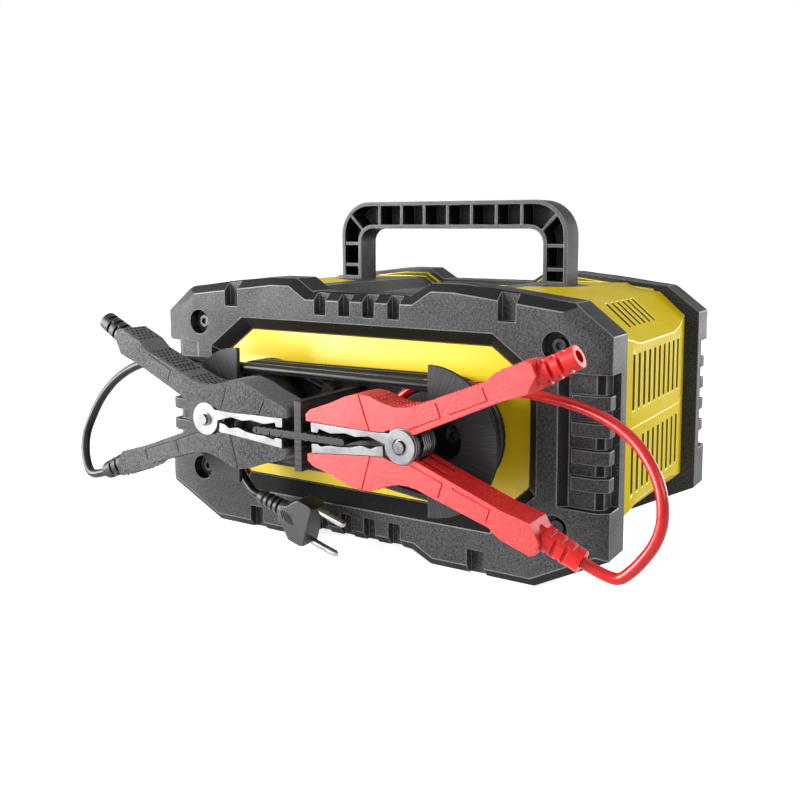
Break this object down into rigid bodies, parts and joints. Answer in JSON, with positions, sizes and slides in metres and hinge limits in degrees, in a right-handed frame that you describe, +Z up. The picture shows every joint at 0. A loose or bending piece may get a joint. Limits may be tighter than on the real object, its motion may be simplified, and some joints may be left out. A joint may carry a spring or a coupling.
{
  "type": "car battery charger",
  "caption": "Car battery charger in a bumper frame with a carrying handle, a cord winder on the front, red and black sprung clamps biting a tongue, and a mains plug.",
  "frame": {"origin": "on the ground under the middle of the object's box, cords left out", "axes": "+X along the longest side, to the right seen from the front; +Y from the front, where the clamps are, to the rear; +Z up"},
  "size_m": [0.3747, 0.236, 0.2],
  "materials": {
    "black_plastic": "fine moulded grain",
    "panel_yellow": "smooth, semi gloss",
    "shell_yellow": "fine moulded grain",
    "handle_black": "fine moulded grain",
    "winder_black": "satin",
    "clamp_red": "spark-eroded grain",
    "clamp_black": "spark-eroded grain",
    "boot_red": "soft satin",
    "boot_black": "soft satin",
    "jaw_steel": "nickel plated, bright",
    "spring_steel": "drawn wire",
    "screw_steel": "zinc plated",
    "cord_red": "smooth silicone",
    "cord_black": "smooth",
    "plug_black": "moulded, satin",
    "plug_metal": "nickel plated",
    "bezel_black": "semi gloss",
    "lens_smoke": "smoked, polished",
    "display_green": "circuit board with a display module",
    "button_grey": "soft",
    "button_green": "soft",
    "rocker_red": "glossy",
    "board_green": "solder mask",
    "core_iron": "ferrite",
    "coil_copper": "enamelled wire",
    "sink_aluminium": "extruded",
    "capacitor_sleeve": "shrink sleeve",
    "fan_black": "moulded"
  },
  "bodies": {
    "charger": {"front_bumper": "black_plastic", "rear_bumper": "black_plastic", "front_bumper_screws": "screw_steel", "rear_bumper_screws": "screw_steel", "front_panel": "panel_yellow", "rear_panel": "panel_yellow", "upper_shell": "shell_yellow", "lower_shell": "shell_yellow", "top_cap": "black_plastic", "handle": "handle_black", "handle_screws": "screw_steel", "cable_winder": "winder_black", "winder_screws": "screw_steel", "clamp_holder": "winder_black", "lead_glands": "winder_black", "red_lower_lever": "clamp_red", "red_lower_jaw": "jaw_steel", "red_pivot_pin": "jaw_steel", "red_spring": "spring_steel", "red_lower_boot": "boot_red", "red_washers": "jaw_steel", "black_lower_lever": "clamp_black", "black_lower_jaw": "jaw_steel", "black_pivot_pin": "jaw_steel", "black_spring": "spring_steel", "black_lower_boot": "boot_black", "red_winding": "cord_red", "black_winding": "cord_black", "mains_winding": "cord_black", "red_lead": "cord_red", "black_lead": "cord_black", "mains_cord": "cord_black", "plug_strain_relief": "plug_black", "plug_body": "plug_black", "plug_pins": "plug_metal", "control_panel": "bezel_black", "display_lens": "lens_smoke", "display_board": "display_green", "circuit_board": "board_green", "board_screws": "screw_steel", "transformer_core": "core_iron", "transformer_coil": "coil_copper", "heat_sinks": "sink_aluminium", "capacitors": "capacitor_sleeve", "fan_frame": "fan_black"},
    "red_clamp_half": {"red_upper_lever": "clamp_red", "red_upper_jaw": "jaw_steel", "red_upper_boot": "boot_red"},
    "black_clamp_half": {"black_upper_lever": "clamp_black", "black_upper_jaw": "jaw_steel", "black_upper_boot": "boot_black"},
    "mode_key": {"mode_button": "button_grey"},
    "start_key": {"start_button": "button_green"},
    "power_switch": {"power_rocker": "rocker_red"},
    "fan": {"fan_rotor": "fan_black"}
  },
  "joints": [
    {"name": "red_clamp_open", "type": "hinge", "parent": "charger", "child": "red_clamp_half", "pos_m": [0.0635, -0.1065, 0.0792], "axis": [0, 1, 0], "range_deg": [0, 28], "stiffness_Nm_per_rad": 0.8, "springref_deg": -20.05},
    {"name": "black_clamp_open", "type": "hinge", "parent": "charger", "child": "black_clamp_half", "pos_m": [-0.0635, -0.1065, 0.0792], "axis": [0, -1, 0], "range_deg": [0, 28], "stiffness_Nm_per_rad": 0.8, "springref_deg": -20.05},
    {"name": "mode_press", "type": "slide", "parent": "charger", "child": "mode_key", "axis": [0, -1, 0], "range_m": [0, 0.002], "stiffness_N_per_m": 400, "springref_m": -0.001},
    {"name": "start_press", "type": "slide", "parent": "charger", "child": "start_key", "axis": [0, -1, 0], "range_m": [0, 0.002], "stiffness_N_per_m": 400, "springref_m": -0.001},
    {"name": "power_switch_tilt", "type": "hinge", "parent": "charger", "child": "power_switch", "pos_m": [-0.04, 0.109, 0.078], "axis": [1, 0, 0], "range_deg": [0, 16]},
    {"name": "fan_spin", "type": "hinge", "parent": "charger", "child": "fan", "pos_m": [-0.13, 0.028, 0.0785], "axis": [1, 0, 0], "continuous": true}
  ]
}
